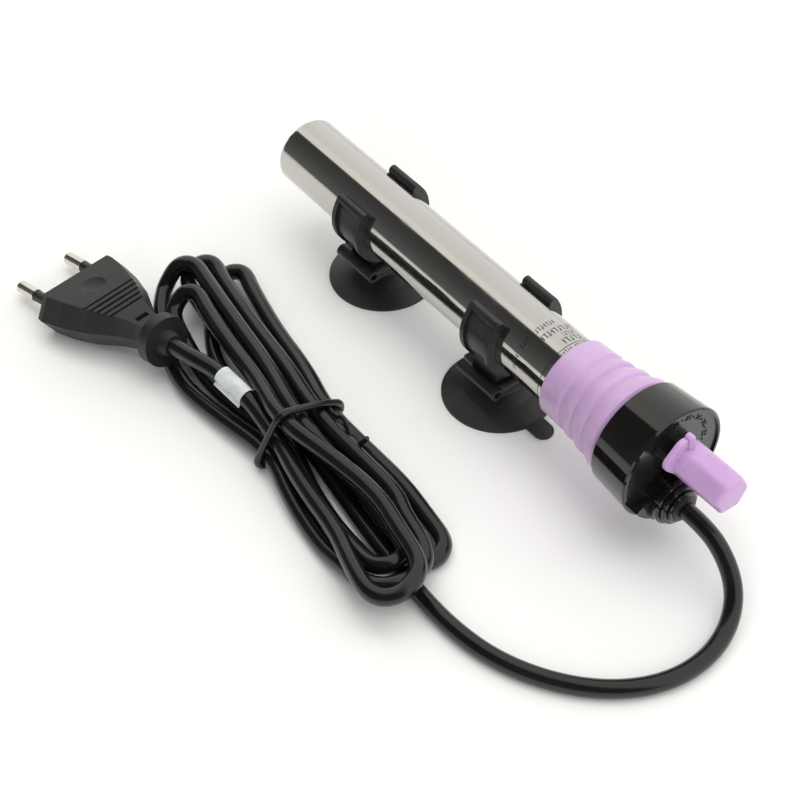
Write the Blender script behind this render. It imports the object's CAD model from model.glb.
import math

import bpy
import numpy as np
from mathutils import Matrix, Vector


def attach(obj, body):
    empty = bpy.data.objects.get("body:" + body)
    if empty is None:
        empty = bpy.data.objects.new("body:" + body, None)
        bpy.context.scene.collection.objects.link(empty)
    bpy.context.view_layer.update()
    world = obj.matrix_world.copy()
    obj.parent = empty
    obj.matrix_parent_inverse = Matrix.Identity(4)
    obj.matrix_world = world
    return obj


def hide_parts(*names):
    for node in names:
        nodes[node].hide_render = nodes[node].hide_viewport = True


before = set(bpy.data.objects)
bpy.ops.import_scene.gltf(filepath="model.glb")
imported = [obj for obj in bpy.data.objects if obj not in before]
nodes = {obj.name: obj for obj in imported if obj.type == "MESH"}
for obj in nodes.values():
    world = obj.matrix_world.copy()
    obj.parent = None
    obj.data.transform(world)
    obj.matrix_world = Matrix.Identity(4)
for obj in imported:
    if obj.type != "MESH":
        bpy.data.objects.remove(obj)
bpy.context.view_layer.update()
mm = 0.001
tubeRadius = 0.011
axisHeight = 0.028
cordRadius = 0.0026
print("frame loaded:", len(nodes), "nodes")


def clearSelection():
    bpy.ops.object.select_all(action="DESELECT")


def onlyThis(obj):
    clearSelection()
    obj.select_set(True)
    bpy.context.view_layer.objects.active = obj


# shader arithmetic shared by the room and the materials
def mathNode(tree, operation, *inputs):
    node = tree.nodes.new("ShaderNodeMath")
    node.operation = operation
    for socket, value in zip(node.inputs, inputs):
        if isinstance(value, (int, float)):
            socket.default_value = value
        else:
            tree.links.new(value, socket)
    return node.outputs[0]


# camera, floor and light
cameraSet = {"place": (0.30105, -0.2652, 0.4042), "heading": (-0.795, 0.607), "down": 45.88, "lens": 85.4}
studio = {"floorSize": 8.0, "floorColour": (0.93, 0.93, 0.925), "floorRough": 0.7, "topLight": 1.0,
          "darkLight": 0.055, "horizonLight": 0.15, "horizonTop": 0.8, "edgeTilt": 0.168, "backdrop": 0.94}
# the room's brightness from its dark near wall to its far wall
roomRamp = ((0.44, (0.0, 0.0, 0.0, 1)), (0.492, (0.0, 0.0, 0.0, 1)), (0.505, (1.12, 1.08, 1.0, 1)),
            (0.62, (1.1, 1.06, 0.99, 1)), (0.66, (0.98, 0.955, 0.9, 1)), (1.0, (1.0, 1.0, 1.0, 1)))
# name, place, size, power
fills = (("fillTop", (0.05, -0.1, 1.3), 1.4, 9.0), ("fillFront", (0.9, -1.1, 0.8), 0.9, 7.0))


def addCamera():
    down = math.radians(cameraSet["down"])
    east, north = cameraSet["heading"]
    ahead = Vector((east * math.cos(down), north * math.cos(down), -math.sin(down)))
    bpy.ops.object.camera_add(location=cameraSet["place"], rotation=ahead.to_track_quat("-Z", "Y").to_euler())
    camera = bpy.context.object
    camera.data.lens = cameraSet["lens"]
    camera.data.clip_start = 0.01
    bpy.context.scene.camera = camera


def addFloor():
    bpy.ops.mesh.primitive_plane_add(size=studio["floorSize"], location=(0, 0, 0))
    floor = bpy.context.object
    floor.name = "floor"
    material = bpy.data.materials.new("paleFloor")
    material.use_nodes = True
    shader = material.node_tree.nodes["Principled BSDF"]
    shader.inputs["Base Color"].default_value = (*studio["floorColour"], 1)
    shader.inputs["Roughness"].default_value = studio["floorRough"]
    floor.data.materials.append(material)


def addFill(name, place, size, power):
    # a soft light that adds to the room without showing in the polished tube
    toward = Vector((0, 0, 0)) - Vector(place)
    bpy.ops.object.light_add(type="AREA", location=place, rotation=toward.to_track_quat("-Z", "Y").to_euler())
    light = bpy.context.object
    light.name = name
    light.data.size = size
    light.data.energy = power
    light.visible_glossy = False


def addRoom():
    # a bright ceiling and far wall, and a dark near wall whose edge the tube reflects as a hard line
    world = bpy.data.worlds.new("studioRoom")
    bpy.context.scene.world = world
    world.use_nodes = True
    tree = world.node_tree
    tree.nodes.clear()
    way = tree.nodes.new("ShaderNodeTexCoord")
    split = tree.nodes.new("ShaderNodeSeparateXYZ")
    tree.links.new(way.outputs["Generated"], split.inputs[0])
    tilt = mathNode(tree, "MULTIPLY_ADD", split.outputs["Z"], studio["edgeTilt"], split.outputs["Y"])
    edge = tree.nodes.new("ShaderNodeValToRGB")
    stops = edge.color_ramp.elements
    stops[0].position, stops[0].color = roomRamp[0]
    stops[1].position, stops[1].color = roomRamp[-1]
    for position, colour in roomRamp[1:-1]:
        stops.new(position).color = colour
    tree.links.new(mathNode(tree, "MULTIPLY_ADD", tilt, 0.5, 0.5), edge.inputs[0])
    rise = tree.nodes.new("ShaderNodeMapRange")
    rise.inputs["From Max"].default_value = studio["horizonTop"]
    rise.inputs["To Min"].default_value = studio["horizonLight"]
    rise.inputs["To Max"].default_value = studio["darkLight"]
    tree.links.new(split.outputs["Z"], rise.inputs["Value"])
    both = tree.nodes.new("ShaderNodeMix")
    both.data_type = "RGBA"
    both.blend_type = "ADD"
    both.inputs["Factor"].default_value = 1.0
    tree.links.new(edge.outputs[0], both.inputs["A"])
    tree.links.new(rise.outputs[0], both.inputs["B"])
    path = tree.nodes.new("ShaderNodeLightPath")
    seen = tree.nodes.new("ShaderNodeMix")
    seen.data_type = "RGBA"
    seen.inputs["B"].default_value = (studio["backdrop"],) * 3 + (1,)
    tree.links.new(path.outputs["Is Camera Ray"], seen.inputs["Factor"])
    tree.links.new(both.outputs["Result"], seen.inputs["A"])
    back = tree.nodes.new("ShaderNodeBackground")
    back.inputs["Strength"].default_value = studio["topLight"]
    tree.links.new(seen.outputs["Result"], back.inputs["Color"])
    out = tree.nodes.new("ShaderNodeOutputWorld")
    tree.links.new(back.outputs[0], out.inputs["Surface"])


bpy.context.scene.view_settings.view_transform = "Standard"
clearSelection()
addCamera()
addFloor()
addRoom()
for fill in fills:
    addFill(*fill)
print("camera, floor and light placed")


# surface effects shared by the materials
def groupSockets(group, ins, outs):
    for name, value in ins:
        socket = group.interface.new_socket(name, in_out="INPUT", socket_type="NodeSocketFloat")
        socket.default_value = value
    for name in outs:
        group.interface.new_socket(name, in_out="OUTPUT", socket_type="NodeSocketFloat")
    return group.nodes.new("NodeGroupInput"), group.nodes.new("NodeGroupOutput")


def makeSurfaceGrain():
    # broad patches and a fine grain, both from the piece's own coordinates, stretched along X
    group = bpy.data.node_groups.new("surfaceGrain", "ShaderNodeTree")
    given, result = groupSockets(group, (("Patch Scale", 40.0), ("Grain Scale", 1500.0), ("Stretch", 1.0)),
                                 ("Patches", "Grain"))
    links = group.links
    place = group.nodes.new("ShaderNodeTexCoord")
    stretch = group.nodes.new("ShaderNodeCombineXYZ")
    stretch.inputs["Y"].default_value = 1.0
    stretch.inputs["Z"].default_value = 1.0
    links.new(given.outputs["Stretch"], stretch.inputs["X"])
    scaled = group.nodes.new("ShaderNodeVectorMath")
    scaled.operation = "MULTIPLY"
    links.new(place.outputs["Object"], scaled.inputs[0])
    links.new(stretch.outputs[0], scaled.inputs[1])
    for scaleName, outName, detail in (("Patch Scale", "Patches", 3.0), ("Grain Scale", "Grain", 2.0)):
        noise = group.nodes.new("ShaderNodeTexNoise")
        noise.inputs["Detail"].default_value = detail
        links.new(scaled.outputs[0], noise.inputs["Vector"])
        links.new(given.outputs[scaleName], noise.inputs["Scale"])
        links.new(noise.outputs[0], result.inputs[outName])
    return group


# share of the cells that hold no speck
emptyCells = 0.8


def makeSpecks():
    # sparse small dots such as dust and moulding flecks
    group = bpy.data.node_groups.new("specks", "ShaderNodeTree")
    given, result = groupSockets(group, (("Scale", 600.0), ("Size", 0.12)), ("Dots",))
    links = group.links
    place = group.nodes.new("ShaderNodeTexCoord")
    cells = group.nodes.new("ShaderNodeTexVoronoi")
    links.new(place.outputs["Object"], cells.inputs["Vector"])
    links.new(given.outputs["Scale"], cells.inputs["Scale"])
    near = mathNode(group, "LESS_THAN", cells.outputs["Distance"], given.outputs["Size"])
    pick = group.nodes.new("ShaderNodeSeparateXYZ")
    links.new(cells.outputs["Color"], pick.inputs[0])
    few = mathNode(group, "GREATER_THAN", pick.outputs["X"], emptyCells)
    links.new(mathNode(group, "MULTIPLY", near, few), result.inputs["Dots"])
    return group


surfaceGrain = makeSurfaceGrain()
specks = makeSpecks()


def placeGroup(tree, group, **values):
    node = tree.nodes.new("ShaderNodeGroup")
    node.node_tree = group
    for name, value in values.items():
        node.inputs[name].default_value = value
    return node


def mixColour(tree, share, first, second):
    node = tree.nodes.new("ShaderNodeMix")
    node.data_type = "RGBA"
    if isinstance(share, (int, float)):
        node.inputs["Factor"].default_value = share
    else:
        tree.links.new(share, node.inputs["Factor"])
    for name, value in (("A", first), ("B", second)):
        if isinstance(value, tuple):
            node.inputs[name].default_value = (*value, 1)
        else:
            tree.links.new(value, node.inputs[name])
    return node.outputs["Result"]


def mapRange(tree, value, low, high, fromLow=0.3, fromHigh=0.7):
    node = tree.nodes.new("ShaderNodeMapRange")
    node.inputs["From Min"].default_value = fromLow
    node.inputs["From Max"].default_value = fromHigh
    node.inputs["To Min"].default_value = low
    node.inputs["To Max"].default_value = high
    tree.links.new(value, node.inputs["Value"])
    return node.outputs["Result"]


# finishes: two colours, roughness from-to, patch and grain sizes, grain height, plain shader sockets
finishes = {
    "steel": {"colours": ((0.50, 0.487, 0.468), (0.56, 0.547, 0.525)), "rough": (0.05, 0.13), "patch": 60.0,
              "grain": 2600.0, "stretch": 0.12, "height": 0.0000006, "plain": {"Metallic": 1.0}},
    "lavender": {"colours": ((0.54, 0.355, 0.605), (0.61, 0.41, 0.665)), "rough": (0.26, 0.38), "patch": 70.0,
                 "grain": 2200.0, "stretch": 1.0, "height": 0.000003,
                 "plain": {"Subsurface Weight": 0.03, "Subsurface Scale": 0.003, "Coat Weight": 0.2,
                           "Coat Roughness": 0.2}},
    "knob_plastic": {"colours": ((0.56, 0.345, 0.645), (0.60, 0.385, 0.68)), "rough": (0.22, 0.32),
                     "patch": 60.0, "grain": 1600.0, "stretch": 1.0, "height": 0.0000012,
                     "plain": {"Subsurface Weight": 0.12, "Subsurface Scale": 0.004, "Coat Weight": 0.15,
                               "Coat Roughness": 0.15}},
    "cap_plastic": {"colours": ((0.0045, 0.0041, 0.0037), (0.0075, 0.0068, 0.0061)), "rough": (0.05, 0.11),
                    "patch": 90.0, "grain": 1200.0, "stretch": 1.0, "height": 0.000003,
                    "plain": {"Coat Weight": 0.3, "Coat Roughness": 0.04}},
    "black_rubber": {"colours": ((0.012, 0.012, 0.012), (0.020, 0.020, 0.020)), "rough": (0.36, 0.5),
                     "patch": 90.0, "grain": 1900.0, "stretch": 1.0, "height": 0.00001, "plain": {}},
    "clip_plastic": {"colours": ((0.013, 0.013, 0.0135), (0.022, 0.022, 0.023)), "rough": (0.34, 0.5),
                     "patch": 120.0, "grain": 2000.0, "stretch": 1.0, "height": 0.000014, "plain": {}},
    "cord_jacket": {"colours": ((0.0045, 0.0045, 0.005), (0.0075, 0.0075, 0.008)), "rough": (0.2, 0.27),
                    "patch": 60.0, "grain": 1500.0, "stretch": 1.0, "height": 0.000001,
                    "plain": {"Coat Weight": 0.12, "Coat Roughness": 0.15}},
    "plug_plastic": {"colours": ((0.010, 0.010, 0.011), (0.016, 0.016, 0.0175)), "rough": (0.42, 0.58),
                     "patch": 80.0, "grain": 2600.0, "stretch": 1.0, "height": 0.00003, "plain": {}},
    "nickel": {"colours": ((0.62, 0.59, 0.52), (0.74, 0.71, 0.64)), "rough": (0.14, 0.3), "patch": 300.0,
               "grain": 3000.0, "stretch": 0.2, "height": 0.000003, "plain": {"Metallic": 1.0}},
    "ceramic": {"colours": ((0.72, 0.69, 0.62), (0.82, 0.79, 0.73)), "rough": (0.6, 0.8), "patch": 200.0,
                "grain": 3000.0, "stretch": 1.0, "height": 0.00003, "plain": {}},
    "coil_wire": {"colours": ((0.30, 0.27, 0.24), (0.42, 0.37, 0.32)), "rough": (0.3, 0.5), "patch": 400.0,
                  "grain": 3500.0, "stretch": 1.0, "height": 0.000006, "plain": {"Metallic": 1.0}},
    "brass_part": {"colours": ((0.62, 0.45, 0.20), (0.74, 0.55, 0.27)), "rough": (0.22, 0.4), "patch": 250.0,
                   "grain": 3000.0, "stretch": 0.3, "height": 0.000005, "plain": {"Metallic": 1.0}},
    "board": {"colours": ((0.36, 0.27, 0.10), (0.46, 0.35, 0.15)), "rough": (0.4, 0.6), "patch": 300.0,
              "grain": 2500.0, "stretch": 1.0, "height": 0.00001, "plain": {}},
    "shaft_steel": {"colours": ((0.5, 0.49, 0.47), (0.62, 0.61, 0.59)), "rough": (0.2, 0.35), "patch": 200.0,
                    "grain": 3000.0, "stretch": 6.0, "height": 0.000004, "plain": {"Metallic": 1.0}},
    "insulation": {"colours": ((0.55, 0.47, 0.33), (0.66, 0.58, 0.43)), "rough": (0.65, 0.85), "patch": 150.0,
                   "grain": 1800.0, "stretch": 1.0, "height": 0.00004, "plain": {}},
    "component": {"colours": ((0.05, 0.10, 0.30), (0.07, 0.14, 0.38)), "rough": (0.3, 0.5), "patch": 300.0,
                  "grain": 2500.0, "stretch": 1.0, "height": 0.000008, "plain": {}},
    "lamp_glass": {"colours": ((0.85, 0.30, 0.16), (0.95, 0.42, 0.24)), "rough": (0.05, 0.1), "patch": 300.0,
                   "grain": 2500.0, "stretch": 1.0, "height": 0.000002, "plain": {"Transmission Weight": 0.7}},
    "wire_a": {"colours": ((0.22, 0.09, 0.04), (0.30, 0.13, 0.06)), "rough": (0.35, 0.5), "patch": 200.0,
               "grain": 2500.0, "stretch": 1.0, "height": 0.000005, "plain": {}},
    "wire_b": {"colours": ((0.05, 0.12, 0.40), (0.07, 0.17, 0.50)), "rough": (0.35, 0.5), "patch": 200.0,
               "grain": 2500.0, "stretch": 1.0, "height": 0.000005, "plain": {}},
    "label_paper": {"colours": ((0.58, 0.58, 0.57), (0.74, 0.74, 0.73)), "rough": (0.3, 0.5), "patch": 260.0,
                    "grain": 4000.0, "stretch": 1.0, "height": 0.00001,
                    "plain": {"Subsurface Weight": 0.15, "Subsurface Scale": 0.002}},
    "white_rubber": {"colours": ((0.7, 0.69, 0.66), (0.8, 0.79, 0.76)), "rough": (0.45, 0.6), "patch": 200.0,
                     "grain": 2500.0, "stretch": 1.0, "height": 0.00001, "plain": {}},
}


def makeFinish(name):
    values = finishes[name]
    material = bpy.data.materials.new(name + "Finish")
    material.use_nodes = True
    tree = material.node_tree
    shader = tree.nodes["Principled BSDF"]
    grain = placeGroup(tree, surfaceGrain, **{"Patch Scale": values["patch"], "Grain Scale": values["grain"],
                                              "Stretch": values["stretch"]})
    patches = mapRange(tree, grain.outputs["Patches"], 0.0, 1.0)
    colour = mixColour(tree, patches, *values["colours"])
    tree.links.new(colour, shader.inputs["Base Color"])
    wornMix = mathNode(tree, "MULTIPLY_ADD", grain.outputs["Patches"], 0.7,
                       mathNode(tree, "MULTIPLY", grain.outputs["Grain"], 0.3))
    tree.links.new(mapRange(tree, wornMix, *values["rough"]), shader.inputs["Roughness"])
    bump = tree.nodes.new("ShaderNodeBump")
    bump.inputs["Strength"].default_value = 1.0
    bump.inputs["Distance"].default_value = values["height"]
    tree.links.new(grain.outputs["Grain"], bump.inputs["Height"])
    tree.links.new(bump.outputs[0], shader.inputs["Normal"])
    for socket, value in values["plain"].items():
        shader.inputs[socket].default_value = value
    return material


looks = {name: makeFinish(name) for name in finishes}


def relink(look, socket, change):
    # runs what feeds a shader socket through change(tree, old) and links the result back
    tree = look.node_tree
    shader = tree.nodes["Principled BSDF"]
    old = shader.inputs[socket].links[0].from_socket
    tree.links.new(change(tree, old), shader.inputs[socket])


# the print on the tube: a level ring and rows of short plain strokes
printRows = (
    # along the tube, half height, from angle, to angle, stroke pitch, filled share of each word
    {"along": 20.9, "half": 0.80, "start": 76, "end": 114, "pitch": 5.2, "word": 40.0, "share": 0.92},
    {"along": 20.7, "half": 0.80, "start": 118, "end": 181, "pitch": 5.2, "word": 33.0, "share": 0.80},
    {"along": 24.1, "half": 1.00, "start": 52, "end": 120, "pitch": 6.4, "word": 90.0, "share": 0.97},
    {"along": 26.6, "half": 0.80, "start": 62, "end": 84, "pitch": 5.2, "word": 40.0, "share": 0.95},
    {"along": 29.0, "half": 1.05, "start": 60, "end": 93, "pitch": 7.6, "word": 90.0, "share": 0.98},
    {"along": 32.2, "half": 0.62, "start": 55, "end": 112, "pitch": 4.6, "word": 36.0, "share": 0.86})
# stems and bars are shares of a stroke's pitch and height, skin is how deep the ink mask reaches
printSet = {"ringAlong": 31.0, "ringHalf": 0.13, "inkColour": (0.012, 0.012, 0.013), "inkRough": 0.35,
            "stemAt": 0.22, "stemHalf": 0.13, "barHalf": 0.17, "barEnd": 0.74, "barStep": 0.82,
            "shuffle": 0.381, "skin": 0.2}
smudges = {"Patch Scale": 130.0, "Grain Scale": 420.0, "Stretch": 0.45}
hazeRange = {"low": 0.0, "high": 0.09, "fromLow": 0.52, "fromHigh": 0.72}


def bandMask(tree, value, low, high):
    above = mathNode(tree, "GREATER_THAN", value, low)
    below = mathNode(tree, "LESS_THAN", value, high)
    return mathNode(tree, "MULTIPLY", above, below)


def nearTo(tree, value, middle, half):
    # 1 where value is within half of middle
    away = mathNode(tree, "ABSOLUTE", mathNode(tree, "SUBTRACT", value, middle))
    return mathNode(tree, "LESS_THAN", away, half)


def printMask(tree):
    place = tree.nodes.new("ShaderNodeTexCoord")
    split = tree.nodes.new("ShaderNodeSeparateXYZ")
    tree.links.new(place.outputs["Object"], split.inputs[0])
    along = mathNode(tree, "MULTIPLY", split.outputs["X"], 1000.0)
    height = mathNode(tree, "SUBTRACT", split.outputs["Z"], axisHeight)
    around = mathNode(tree, "DEGREES", mathNode(tree, "ARCTAN2", height, split.outputs["Y"]))
    outside = mathNode(tree, "GREATER_THAN",
                       mathNode(tree, "ADD", mathNode(tree, "POWER", height, 2.0),
                                mathNode(tree, "POWER", split.outputs["Y"], 2.0)),
                       (tubeRadius - printSet["skin"] * mm) ** 2)
    turned = mathNode(tree, "FLOORED_MODULO", around, 360.0)
    mask = bandMask(tree, along, printSet["ringAlong"] - printSet["ringHalf"],
                    printSet["ringAlong"] + printSet["ringHalf"])
    for number, row in enumerate(printRows):
        inRow = bandMask(tree, along, row["along"] - row["half"], row["along"] + row["half"])
        inArc = bandMask(tree, turned, row["start"], row["end"])
        past = mathNode(tree, "SUBTRACT", turned, row["start"])
        step = mathNode(tree, "DIVIDE", past, row["pitch"])
        place = mathNode(tree, "FRACT", step)
        stem = nearTo(tree, place, printSet["stemAt"], printSet["stemHalf"])
        # each stroke gets a top, middle or foot bar by its number in the row
        count = mathNode(tree, "FLOOR", step)
        mixed = mathNode(tree, "MULTIPLY", mathNode(tree, "ADD", count, number + 1.0), printSet["shuffle"])
        style = mathNode(tree, "FRACT", mixed)
        level = mathNode(tree, "DIVIDE", mathNode(tree, "SUBTRACT", along, row["along"]), row["half"])
        wanted = mathNode(tree, "MULTIPLY_ADD", mathNode(tree, "FLOOR", mathNode(tree, "MULTIPLY", style, 3.0)),
                          printSet["barStep"], -printSet["barStep"])
        bar = nearTo(tree, level, wanted, printSet["barHalf"])
        bar = mathNode(tree, "MULTIPLY", bar, mathNode(tree, "LESS_THAN", place, printSet["barEnd"]))
        word = mathNode(tree, "LESS_THAN", mathNode(tree, "FRACT", mathNode(tree, "DIVIDE", past, row["word"])),
                        row["share"])
        mark = mathNode(tree, "MULTIPLY", mathNode(tree, "MAXIMUM", stem, bar), word)
        mark = mathNode(tree, "MULTIPLY", mark, mathNode(tree, "MULTIPLY", inRow, inArc))
        mask = mathNode(tree, "MAXIMUM", mask, mark)
    return mathNode(tree, "MULTIPLY", mask, outside)


def printTube():
    look = looks["steel"]
    tree = look.node_tree
    shader = tree.nodes["Principled BSDF"]
    ink = printMask(tree)
    smudge = placeGroup(tree, surfaceGrain, **smudges)
    haze = mapRange(tree, smudge.outputs["Patches"], **hazeRange)
    relink(look, "Roughness", lambda t, old: mathNode(
        t, "MULTIPLY_ADD", ink, printSet["inkRough"], mathNode(t, "ADD", old, haze)))
    relink(look, "Base Color", lambda t, old: mixColour(t, ink, old, printSet["inkColour"]))
    bare = mathNode(tree, "SUBTRACT", 1.0, ink)
    tree.links.new(bare, shader.inputs["Metallic"])


# the dial face along X in millimetres, how much rougher and paler it is, and its flecks
satin = {"from": 73.35, "to": 73.48, "rougher": 0.17, "share": 0.5, "colour": (0.020, 0.0195, 0.019),
         "fleckScale": 1400.0, "fleckSize": 0.16, "fleckShare": 0.2, "fleckColour": (0.12, 0.12, 0.115)}


def satinDial():
    # the dial face behind the knob is spark textured, the rest of the cap is polished
    look = looks["cap_plastic"]
    tree = look.node_tree
    place = tree.nodes.new("ShaderNodeTexCoord")
    split = tree.nodes.new("ShaderNodeSeparateXYZ")
    tree.links.new(place.outputs["Object"], split.inputs[0])
    face = bandMask(tree, mathNode(tree, "MULTIPLY", split.outputs["X"], 1000.0), satin["from"], satin["to"])
    flecks = placeGroup(tree, specks, Scale=satin["fleckScale"], Size=satin["fleckSize"])
    relink(look, "Roughness", lambda t, old: mathNode(t, "MULTIPLY_ADD", face, satin["rougher"], old))
    relink(look, "Base Color", lambda t, old: mixColour(
        t, mathNode(t, "MULTIPLY", face, satin["share"]), old, satin["colour"]))
    relink(look, "Base Color", lambda t, old: mixColour(
        t, mathNode(t, "MULTIPLY", flecks.outputs["Dots"], satin["fleckShare"]), old, satin["fleckColour"]))


dustSize = 0.14
dustColour = (0.25, 0.25, 0.245)


def dustedLook(name, amount, scale):
    look = looks[name]
    dust = placeGroup(look.node_tree, specks, Scale=scale, Size=dustSize)
    relink(look, "Base Color", lambda t, old: mixColour(
        t, mathNode(t, "MULTIPLY", dust.outputs["Dots"], amount), old, dustColour))


printTube()
satinDial()
dustedLook("plug_plastic", 0.14, 900.0)
dustedLook("black_rubber", 0.12, 700.0)

partFinish = {"heater_tube": "steel", "rubber_boot": "lavender", "temperature_knob": "knob_plastic",
              "head_cap": "cap_plastic", "outlet_ring": "cap_plastic", "outlet_bush": "black_rubber",
              "rear_clip": "clip_plastic", "front_clip": "clip_plastic", "rear_cup": "black_rubber",
              "front_cup": "black_rubber", "plug_body": "plug_plastic", "plug_pin_near": "nickel",
              "plug_pin_far": "nickel", "pin_sleeve_near": "clip_plastic", "pin_sleeve_far": "clip_plastic",
              "knob_shaft": "shaft_steel", "adjust_nut": "brass_part", "contact_arm": "brass_part",
              "moving_contact": "brass_part", "fixed_contact": "brass_part", "bimetal_strip": "shaft_steel",
              "strip_post": "brass_part", "pivot_bracket": "brass_part", "pivot_pin": "shaft_steel",
              "ceramic_core": "ceramic", "ceramic_disc_front": "ceramic", "ceramic_disc_rear": "ceramic",
              "heating_coil": "coil_wire", "insulating_sleeve": "insulation", "thermostat_board": "board",
              "end_stopper": "white_rubber", "shaft_seal": "black_rubber", "capacitor": "component",
              "thermal_fuse": "insulation", "indicator_lamp": "lamp_glass", "wire_live": "wire_a",
              "wire_neutral": "wire_b"}
for nodeName, finish in partFinish.items():
    for materialSlot in nodes[nodeName].material_slots:
        materialSlot.material = looks[finish]
print("finishes made:", len(looks))


# the cord: lead from the outlet, hank of loops through the tie, tail to the plug
leadRoute = [(0.0830, -0.002322, 0.018685), (0.0914, -0.002322, 0.018685), (0.0993, -0.0029, 0.0150),
             (0.1056, -0.0048, 0.0098), (0.1099, -0.0092, 0.0054), (0.1130, -0.0160, 0.0031),
             (0.1146, -0.0246, 0.0026), (0.1139, -0.0342, 0.0026), (0.1102, -0.0436, 0.0026),
             (0.1034, -0.0526, 0.0026), (0.0936, -0.0604, 0.0026), (0.0814, -0.0662, 0.0026),
             (0.0676, -0.0688, 0.0026), (0.0524, -0.0688, 0.0026)]
leadIn = [(0.0330, -0.0670, 0.0026), (0.0140, -0.0644, 0.0026)]
tailRoute = [(-0.0290, -0.0688, 0.0134), (-0.04269, -0.07111, 0.0142), (-0.04977, -0.07391, 0.0150),
             (-0.05759, -0.07527, 0.01434)]
# millimetres: where the strands cross the tie (y, z), and each loop's tip, half width and belly edges.
# gap is the room between two strands, apart the run along the cord past which they count as two
hank = {"tie": -11.8, "belly": 0.56, "gap": 5.3, "apart": 14, "passes": 220, "push": 1.2,
        "ease": 0.24, "floor": 2.6,
        "waist": [(-61.0, 4.7), (-54.0, 10.0), (-55.8, 4.7), (-58.3, 12.3), (-71.0, 4.7), (-63.0, 13.0),
                  (-66.2, 4.7), (-68.0, 14.2), (-69.2, 9.4)],
        "upper": [(-84.0, -41.5, 5.8, -65.0, -43.5, 2.6, 2.6, 5.0, 5.0),
                  (-89.7, -49.3, 5.4, -59.5, -49.8, 5.0, 7.0, 9.0, 8.5),
                  (-87.8, -54.2, 5.8, -75.5, -54.3, 2.6, 2.8, 9.0, 10.0),
                  (-77.3, -59.8, 5.8, -70.5, -59.8, 2.6, 6.5, 10.5, 11.0)],
        "lower": [(45.0, -59.5, 5.8, -61.5, -50.8, 2.6, 2.6, 3.0, 4.5),
                  (49.0, -71.0, 9.0, -79.3, -56.0, 2.6, 7.8, 8.0, 7.0),
                  (44.0, -69.0, 6.5, -73.5, -60.0, 2.6, 7.8, 8.0, 6.0),
                  (55.0, -74.5, 8.0, -75.5, -62.0, 7.5, 8.5, 10.5, 12.0)]}


def between(low, high, share):
    return low + (high - low) * share


def loopSide(waist, loop, left):
    # five points from the tie out to a loop's tip, along its left or right strand
    waistY, waistZ = waist
    tipX, tipY, half, leftY, rightY, leftZ, tipLeftZ, tipRightZ, rightZ = loop
    way = 1 if tipX > hank["tie"] else -1
    if left:
        edge, strandZ, tipZ, side = leftY, leftZ, tipLeftZ, -1
    else:
        edge, strandZ, tipZ, side = rightY, rightZ, tipRightZ, 1
    bellyX = between(hank["tie"], tipX, hank["belly"])
    return [(between(hank["tie"], bellyX, 0.5), between(waistY, edge, 0.66), between(waistZ, strandZ, 0.7)),
            (bellyX, edge, strandZ),
            (tipX - way * 2.0 * half, between(edge, tipY + side * half, 0.62), between(strandZ, tipZ, 0.35)),
            (tipX - way * 0.586 * half, tipY + side * half, between(strandZ, tipZ, 0.75)),
            (tipX, tipY + side * half * 0.414, tipZ)]


def cordPoints():
    # every turn goes up one side of an upper loop, back through the tie, and round a lower loop
    turns = []
    for number, (upper, lower) in enumerate(zip(hank["upper"], hank["lower"])):
        start, middle, end = hank["waist"][2 * number:2 * number + 3]
        turns += [(hank["tie"], *start)] + loopSide(start, upper, True) + loopSide(middle, upper, False)[::-1]
        turns += [(hank["tie"], *middle)] + loopSide(middle, lower, False) + loopSide(end, lower, True)[::-1]
    turns.append((hank["tie"], *hank["waist"][-1]))
    points = leadRoute + leadIn + [tuple(value * mm for value in point) for point in turns] + tailRoute
    held = np.ones(len(points))
    held[:len(leadRoute)] = 0
    held[-len(tailRoute) + 1:] = 0
    return np.array(points) / mm, held


def splineWeights(count, perSpan):
    # how much each control point pulls on each sample of a clamped second degree spline
    knots = [0, 0, 0] + list(range(1, count - 2)) + [count - 2] * 3
    steps = np.linspace(0, count - 2, (count - 2) * perSpan + 1)
    weights = np.zeros((len(steps), count))
    for row, step in enumerate(steps):
        span = min(int(step), count - 3)
        k = span + 2
        left = (step - knots[k]) / (knots[k + 1] - knots[k])
        rise = (step - knots[k - 1]) / (knots[k + 1] - knots[k - 1])
        fall = (knots[k + 2] - step) / (knots[k + 2] - knots[k])
        weights[row, span] = (1 - rise) * (1 - left)
        weights[row, span + 1] = rise * (1 - left) + fall * left
        weights[row, span + 2] = (1 - fall) * left
    return weights


def settle(points, held):
    # strands that would run into each other push apart until they lie side by side
    weights = splineWeights(len(points), 6)
    start = points.copy()
    for _ in range(hank["passes"]):
        line = weights @ points
        run = np.concatenate([[0], np.cumsum(np.linalg.norm(np.diff(line, axis=0), axis=1))])
        apart = np.linalg.norm(line[:, None] - line[None], axis=2)
        first, second = np.nonzero(
            np.triu((apart < hank["gap"]) & (np.abs(run[:, None] - run[None]) > hank["apart"]), 1))
        away = line[first] - line[second]
        gap = apart[first, second]
        push = (hank["gap"] - gap)[:, None] * away / np.maximum(gap, 0.2)[:, None] * 0.5
        force = np.zeros_like(line)
        count = np.zeros(len(line))
        np.add.at(force, first, push)
        np.add.at(force, second, -push)
        np.add.at(count, first, 1)
        np.add.at(count, second, 1)
        force /= np.maximum(count, 1)[:, None]
        share = (weights * (count > 0)[:, None]).sum(0)
        points = points + hank["push"] * (weights.T @ force) / np.maximum(share, 0.8)[:, None] * held[:, None]
        shift = points - start
        smooth = shift.copy()
        smooth[1:-1] = 0.5 * shift[1:-1] + 0.25 * (shift[:-2] + shift[2:])
        points = start + between(shift, smooth, hank["ease"]) * held[:, None]
        points[:, 2] = np.maximum(points[:, 2], hank["floor"])
    return points * mm


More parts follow.
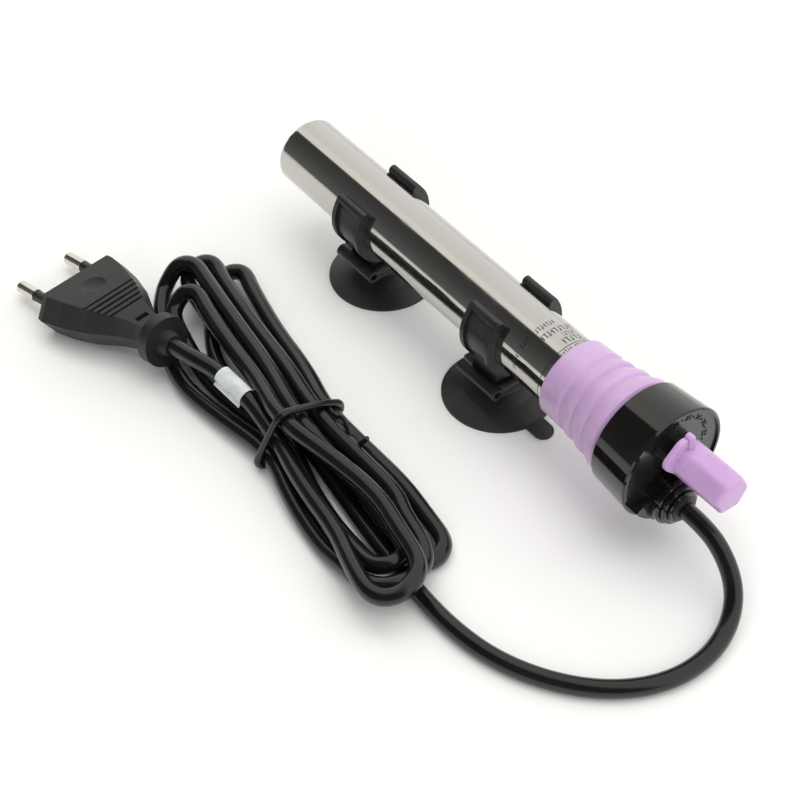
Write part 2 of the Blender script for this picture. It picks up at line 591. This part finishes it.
def addLine(name, points, radius, cyclic=False):
    # one NURBS line with a round section
    curve = bpy.data.curves.new(name, "CURVE")
    curve.dimensions = "3D"
    spline = curve.splines.new("NURBS")
    spline.points.add(len(points) - 1)
    for point, place in zip(spline.points, points):
        point.co = (*place, 1)
    spline.order_u = 3
    spline.use_endpoint_u = not cyclic
    spline.use_cyclic_u = cyclic
    spline.resolution_u = 10
    curve.bevel_depth = radius
    curve.bevel_resolution = 5
    curve.use_fill_caps = True
    obj = bpy.data.objects.new(name, curve)
    bpy.context.scene.collection.objects.link(obj)
    return obj


def centreLine(obj):
    # points along a curve's own line, without its thickness
    plain = obj.copy()
    plain.data = obj.data.copy()
    plain.data.bevel_depth = 0
    plain.data.use_fill_caps = False
    bpy.context.scene.collection.objects.link(plain)
    bpy.context.view_layer.update()
    mesh = bpy.data.meshes.new_from_object(plain)
    line = [vertex.co.copy() for vertex in mesh.vertices]
    data = plain.data
    bpy.data.objects.remove(plain)
    bpy.data.curves.remove(data)
    bpy.data.meshes.remove(mesh)
    return line


points, held = cordPoints()
cord = addLine("mains_cord", settle(points, held), cordRadius)
cord.data.materials.append(looks["cord_jacket"])
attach(cord, "heater")
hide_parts("cord_lead", "cord_hank", "cord_tail")
cordLine = centreLine(cord)
cordLength = sum((b - a).length for a, b in zip(cordLine, cordLine[1:]))
print("cord laid: length %.3f m, %d points" % (cordLength, len(points)))


# the wire tie round the waist of the hank
tie = {"radius": 0.0011, "endRadius": 0.0007, "steps": 28, "lean": 0.10,
       "ends": (((-0.0109, -0.0530, 0.0130), (-0.0060, -0.0535, 0.0128), (-0.0038, -0.0523, 0.0150),
                 (0.0004, -0.0534, 0.0110)),
                ((-0.0120, -0.0530, 0.0130), (-0.0030, -0.0545, 0.0118), (0.0020, -0.0535, 0.0100),
                 (0.0045, -0.0521, 0.0100), (0.0057, -0.0513, 0.0130)))}


def tieLoop():
    # a band pulled tight over every strand that passes through the tie's plane
    plane = hank["tie"] * mm
    strands = []
    for a, b in zip(cordLine, cordLine[1:]):
        if (a.x - plane) * (b.x - plane) <= 0 and a.x != b.x:
            here = a.lerp(b, (plane - a.x) / (b.x - a.x))
            strands.append((here.y, here.z))
    reach = cordRadius + tie["radius"]
    middle = np.mean(strands, axis=0)
    loop = []
    for step in range(tie["steps"]):
        angle = math.tau * step / tie["steps"]
        way = (math.cos(angle), math.sin(angle))
        y, z = max(strands, key=lambda place: place[0] * way[0] + place[1] * way[1])
        y, z = y + reach * way[0], max(z + reach * way[1], tie["radius"])
        loop.append((plane + tie["lean"] * (z - middle[1]), y, z))
    return loop


def addTie():
    pieces = [addLine("tieLoop", tieLoop(), tie["radius"], cyclic=True)]
    for number, route in enumerate(tie["ends"]):
        pieces.append(addLine("tieEnd%d" % number, route, tie["endRadius"]))
    clearSelection()
    for piece in pieces:
        piece.data.bevel_resolution = 3
        piece.select_set(True)
    bpy.context.view_layer.objects.active = pieces[0]
    bpy.ops.object.convert(target="MESH")
    bpy.ops.object.join()
    band = bpy.context.object
    band.name = "wire_tie"
    bpy.ops.object.shade_smooth()
    band.data.materials.clear()
    band.data.materials.append(looks["cord_jacket"])
    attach(band, "heater")
    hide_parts("cord_tie")
    return band


wireTie = addTie()
print("tie pulled round the hank")


# blank paper flag wrapped round the tail of the cord
flag = {"fromEnd": 0.026, "length": 0.0115, "thick": 0.00012, "stand": 0.00022, "wrap": 300.0, "turn": -35.0,
        "reach": 0.0012, "droop": 0.12, "crease": 40.0}


def addFlag():
    run = 0.0
    spots = []
    backward = cordLine[::-1]
    for a, b in zip(backward, backward[1:]):
        run += (b - a).length
        if flag["fromEnd"] <= run:
            spots = [a, b]
            break
    middle = spots[0]
    ahead = (spots[1] - spots[0]).normalized()
    aside = ahead.cross(Vector((0, 0, 1))).normalized()
    above = aside.cross(ahead).normalized()
    if above.z < 0:
        above = -above
    bpy.ops.mesh.primitive_grid_add(x_subdivisions=10, y_subdivisions=40, size=1, location=(0, 0, 0))
    paper = bpy.context.object
    paper.name = "paper_flag"
    radius = cordRadius + flag["stand"]
    wrap = math.radians(flag["wrap"])
    turn = math.radians(flag["turn"])
    arc = radius * wrap
    whole = arc + 2 * flag["reach"]
    for vertex in paper.data.vertices:
        along = vertex.co.x * flag["length"]
        across = (vertex.co.y + 0.5) * whole - flag["reach"]
        share = min(max(across / arc, 0.0), 1.0)
        angle = turn + wrap * (share - 0.5)
        out = aside * math.sin(angle) + above * math.cos(angle)
        skin = middle + out * radius
        over = max(-across, across - arc, 0.0)
        if over > 0:
            leave = math.radians(180) + turn
            flagWay = aside * math.sin(leave) + above * math.cos(leave)
            skin = skin + flagWay * over + above * flag["droop"] * over * (over / flag["reach"])
        vertex.co = skin + ahead * along
    return paper


def foldFlag():
    # one strip wrapped round the cord, whose two short ends stand off it
    paper = addFlag()
    onlyThis(paper)
    solid = paper.modifiers.new("thickness", "SOLIDIFY")
    solid.thickness = flag["thick"]
    solid.offset = 1
    bpy.ops.object.modifier_apply(modifier=solid.name)
    bpy.ops.object.shade_smooth_by_angle(angle=math.radians(flag["crease"]))
    paper.data.materials.append(looks["label_paper"])
    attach(paper, "heater")
    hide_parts("cord_label")
    return paper


paperFlag = foldFlag()
print("paper flag folded")


# the knob: six sided grip with soft edges, thin foot plate, pointer nub
knob = {"centre": (0.001113, 0.032463), "from": 0.0773, "to": 0.09495, "radius": 0.00618, "turn": 59.0,
        "soft": 0.0013, "endInset": 0.0022, "footEdge": 0.0003, "crease": 38.0,
        "footThick": 0.0015, "footReach": 0.0094, "footHalf": 0.0052, "footTurn": 135.0, "footSoft": 0.003,
        "nubRadius": 0.0011, "nubHigh": 0.0022, "nubReach": 0.0090, "nubTurn": 95.0, "nubSoft": 0.0004}


def bevelWhere(obj, choose, offset, segments):
    # rounds the edges that choose(first, second) picks
    onlyThis(obj)
    bpy.ops.object.mode_set(mode="EDIT")
    bpy.ops.mesh.select_mode(type="EDGE")
    bpy.ops.mesh.select_all(action="DESELECT")
    bpy.ops.object.mode_set(mode="OBJECT")
    mesh = obj.data
    for edge in mesh.edges:
        first, second = (mesh.vertices[index].co for index in edge.vertices)
        edge.select = choose(first, second)
    bpy.ops.object.mode_set(mode="EDIT")
    bpy.ops.mesh.bevel(offset=offset, segments=segments, affect="EDGES")
    bpy.ops.object.mode_set(mode="OBJECT")


def addGrip():
    long = knob["to"] - knob["from"]
    bpy.ops.mesh.primitive_cylinder_add(vertices=6, radius=knob["radius"], depth=long, location=(0, 0, 0))
    grip = bpy.context.object
    grip.data.transform(Matrix.Rotation(math.radians(90), 4, "Y"))
    grip.data.transform(Matrix.Translation((long / 2, 0, 0)))
    grip.data.transform(Matrix.Rotation(math.radians(knob["turn"]), 4, "X"))
    bevelWhere(grip, lambda a, b: max(a.x, b.x) > 0.5 * long, knob["soft"], 5)
    bpy.ops.object.mode_set(mode="EDIT")
    bpy.ops.mesh.select_mode(type="FACE")
    bpy.ops.mesh.select_all(action="DESELECT")
    bpy.ops.object.mode_set(mode="OBJECT")
    top = max(grip.data.polygons, key=lambda face: face.center.x)
    top.select = True
    bpy.ops.object.mode_set(mode="EDIT")
    bpy.ops.mesh.inset(thickness=knob["endInset"], depth=0.0)
    bpy.ops.object.mode_set(mode="OBJECT")
    return grip


def addPlate():
    bpy.ops.mesh.primitive_cube_add(size=1, location=(0, 0, 0))
    plate = bpy.context.object
    plate.data.transform(Matrix.Diagonal((knob["footThick"], knob["footReach"], 2 * knob["footHalf"], 1)))
    plate.data.transform(Matrix.Translation((knob["footThick"] / 2, knob["footReach"] / 2, 0)))
    high, reach = knob["footThick"], knob["footReach"]
    bevelWhere(plate, lambda a, b: min(a.y, b.y) > 0.5 * reach and abs(a.x - b.x) > 0.5 * high,
               knob["footSoft"], 8)
    bevelWhere(plate, lambda a, b: min(a.x, b.x) > 0.9 * high, knob["footEdge"], 3)
    plate.data.transform(Matrix.Rotation(math.radians(knob["footTurn"]), 4, "X"))
    return plate


def addNub():
    bpy.ops.mesh.primitive_cube_add(size=1, location=(0, 0, 0))
    rib = bpy.context.object
    size = (knob["nubHigh"], knob["nubReach"] + knob["nubRadius"], 2 * knob["nubRadius"], 1)
    rib.data.transform(Matrix.Diagonal(size))
    rib.data.transform(Matrix.Translation((size[0] / 2, size[1] / 2, 0)))
    bevelWhere(rib, lambda a, b: min(a.y, b.y) > 0.5 * size[1] and abs(a.x - b.x) > 0.5 * size[0],
               0.95 * knob["nubRadius"], 6)
    bevelWhere(rib, lambda a, b: min(a.x, b.x) > 0.9 * size[0], knob["nubSoft"], 4)
    rib.data.transform(Matrix.Rotation(math.radians(knob["nubTurn"]), 4, "X"))
    return rib


def addKnob():
    pieces = [addGrip(), addPlate(), addNub()]
    clearSelection()
    for piece in pieces:
        piece.select_set(True)
    bpy.context.view_layer.objects.active = pieces[0]
    bpy.ops.object.join()
    whole = bpy.context.object
    whole.name = "soft_knob"
    whole.data.transform(Matrix.Translation((knob["from"], *knob["centre"])))
    bpy.ops.object.mode_set(mode="EDIT")
    bpy.ops.mesh.select_all(action="SELECT")
    bpy.ops.mesh.normals_make_consistent(inside=False)
    bpy.ops.object.mode_set(mode="OBJECT")
    bpy.ops.object.shade_smooth_by_angle(angle=math.radians(knob["crease"]))
    whole.data.materials.clear()
    whole.data.materials.append(looks["knob_plastic"])
    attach(whole, "knob")
    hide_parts("temperature_knob")


addKnob()
print("knob shaped")


# raised figures and dots round the knob
dial = {"face": 0.0734, "height": 0.00022, "figures": (34, 32, 30, 28, 26, 24, 22, 20),
        "from": 148.0, "to": -28.0, "radius": 0.0103, "size": 0.0023, "dotRadius": 0.00032, "dotRing": 0.0123}


def addDialMarks():
    marks = []
    last = len(dial["figures"]) - 1
    for number, figure in enumerate(dial["figures"]):
        angle = math.radians(between(dial["from"], dial["to"], number / last))
        bpy.ops.object.text_add(location=(0, 0, 0))
        text = bpy.context.object
        text.data.body = str(figure)
        text.data.size = dial["size"]
        text.data.align_x = "CENTER"
        text.data.align_y = "CENTER"
        text.data.extrude = dial["height"]
        text.data.resolution_u = 3
        onlyThis(text)
        bpy.ops.object.convert(target="MESH")
        text = bpy.context.object
        # text reads along +Y on a face that looks along +X, then turns about the dial
        text.data.transform(Matrix(((0, 0, 1, 0), (1, 0, 0, 0), (0, 1, 0, 0), (0, 0, 0, 1))))
        text.data.transform(Matrix.Rotation(angle - math.radians(90), 4, "X"))
        y = knob["centre"][0] + dial["radius"] * math.cos(angle)
        z = knob["centre"][1] + dial["radius"] * math.sin(angle)
        text.data.transform(Matrix.Translation((dial["face"], y, z)))
        marks.append(text)
        if number < last:
            half = math.radians(between(dial["from"], dial["to"], (number + 0.5) / last))
            y = knob["centre"][0] + dial["radius"] * math.cos(half)
            z = knob["centre"][1] + dial["radius"] * math.sin(half)
            bpy.ops.mesh.primitive_cylinder_add(vertices=10, radius=dial["dotRadius"], depth=2 * dial["height"],
                                                location=(dial["face"], y, z), rotation=(0, math.pi / 2, 0))
            dot = bpy.context.object
            bpy.ops.object.transform_apply(location=True, rotation=True, scale=True)
            marks.append(dot)
    clearSelection()
    for mark in marks:
        mark.select_set(True)
    bpy.context.view_layer.objects.active = marks[0]
    bpy.ops.object.join()
    figures = bpy.context.object
    figures.name = "dial_marks"
    figures.data.materials.clear()
    figures.data.materials.append(looks["cap_plastic"])
    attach(figures, "heater")


addDialMarks()
print("dial marked")

print("sizes written")
